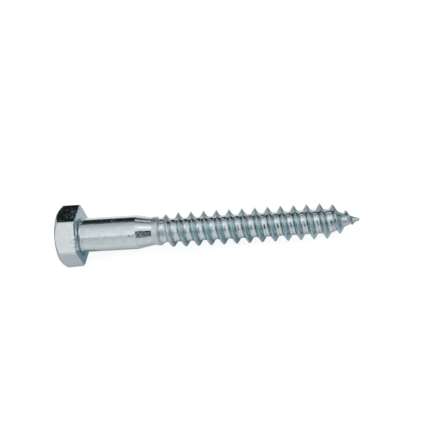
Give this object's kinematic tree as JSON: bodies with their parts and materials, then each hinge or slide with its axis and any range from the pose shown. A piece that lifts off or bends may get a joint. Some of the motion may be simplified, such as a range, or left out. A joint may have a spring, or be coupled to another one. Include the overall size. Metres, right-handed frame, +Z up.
{
  "type": "hex head lag screw",
  "caption": "Hexagon head wood screw with a plain shank, a forming cone, a coarse right-hand rolled thread and a blunt gimlet point, bright zinc plated.",
  "frame": {"origin": "bottom centre of the bounding box: the middle of the screw's length and width, on the surface it lies on", "axes": "+X along the screw from head to point, +Z up from the surface it lies on, +Y across. The screw rests on the bearing-side edge of one flat of the hexagon and on its thread, so its own axis dips 2.3 degrees towards the point."},
  "size_m": [0.0704, 0.0146, 0.013],
  "materials": {
    "zinc_plated_steel": "bright zinc plating with a faint blue passivate"
  },
  "bodies": {
    "root": {"lag_screw": "zinc_plated_steel"}
  },
  "joints": []
}
